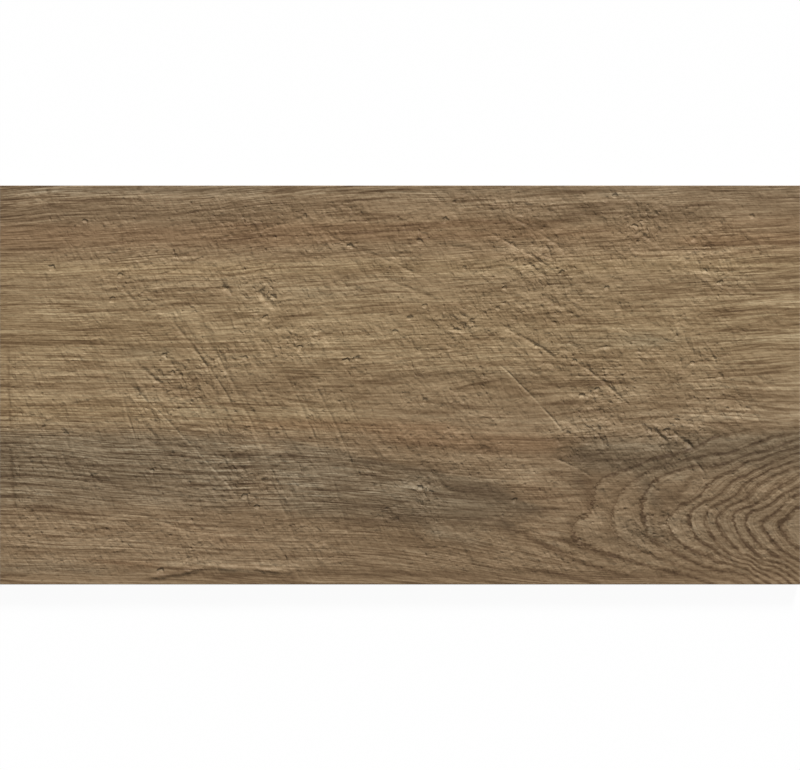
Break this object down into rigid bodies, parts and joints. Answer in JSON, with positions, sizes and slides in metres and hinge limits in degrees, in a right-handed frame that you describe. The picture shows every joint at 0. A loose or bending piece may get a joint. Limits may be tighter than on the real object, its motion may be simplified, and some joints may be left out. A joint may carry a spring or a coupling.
{
  "type": "wood-look porcelain tile",
  "caption": "Rectangular porcelain floor tile with a matt, rough-sawn oak look face, square ground edges and a ribbed back that keys into adhesive.",
  "frame": {"origin": "middle of the back, on the plane of the rib crests", "axes": "+X along the length and the wood grain, +Y across the width, +Z out of the printed face"},
  "size_m": [0.598, 0.298, 0.009],
  "materials": {
    "porcelain": "matt structured face printed as weathered oak, on a pale fired body"
  },
  "bodies": {
    "root": {"plank_tile": "porcelain"}
  },
  "joints": []
}
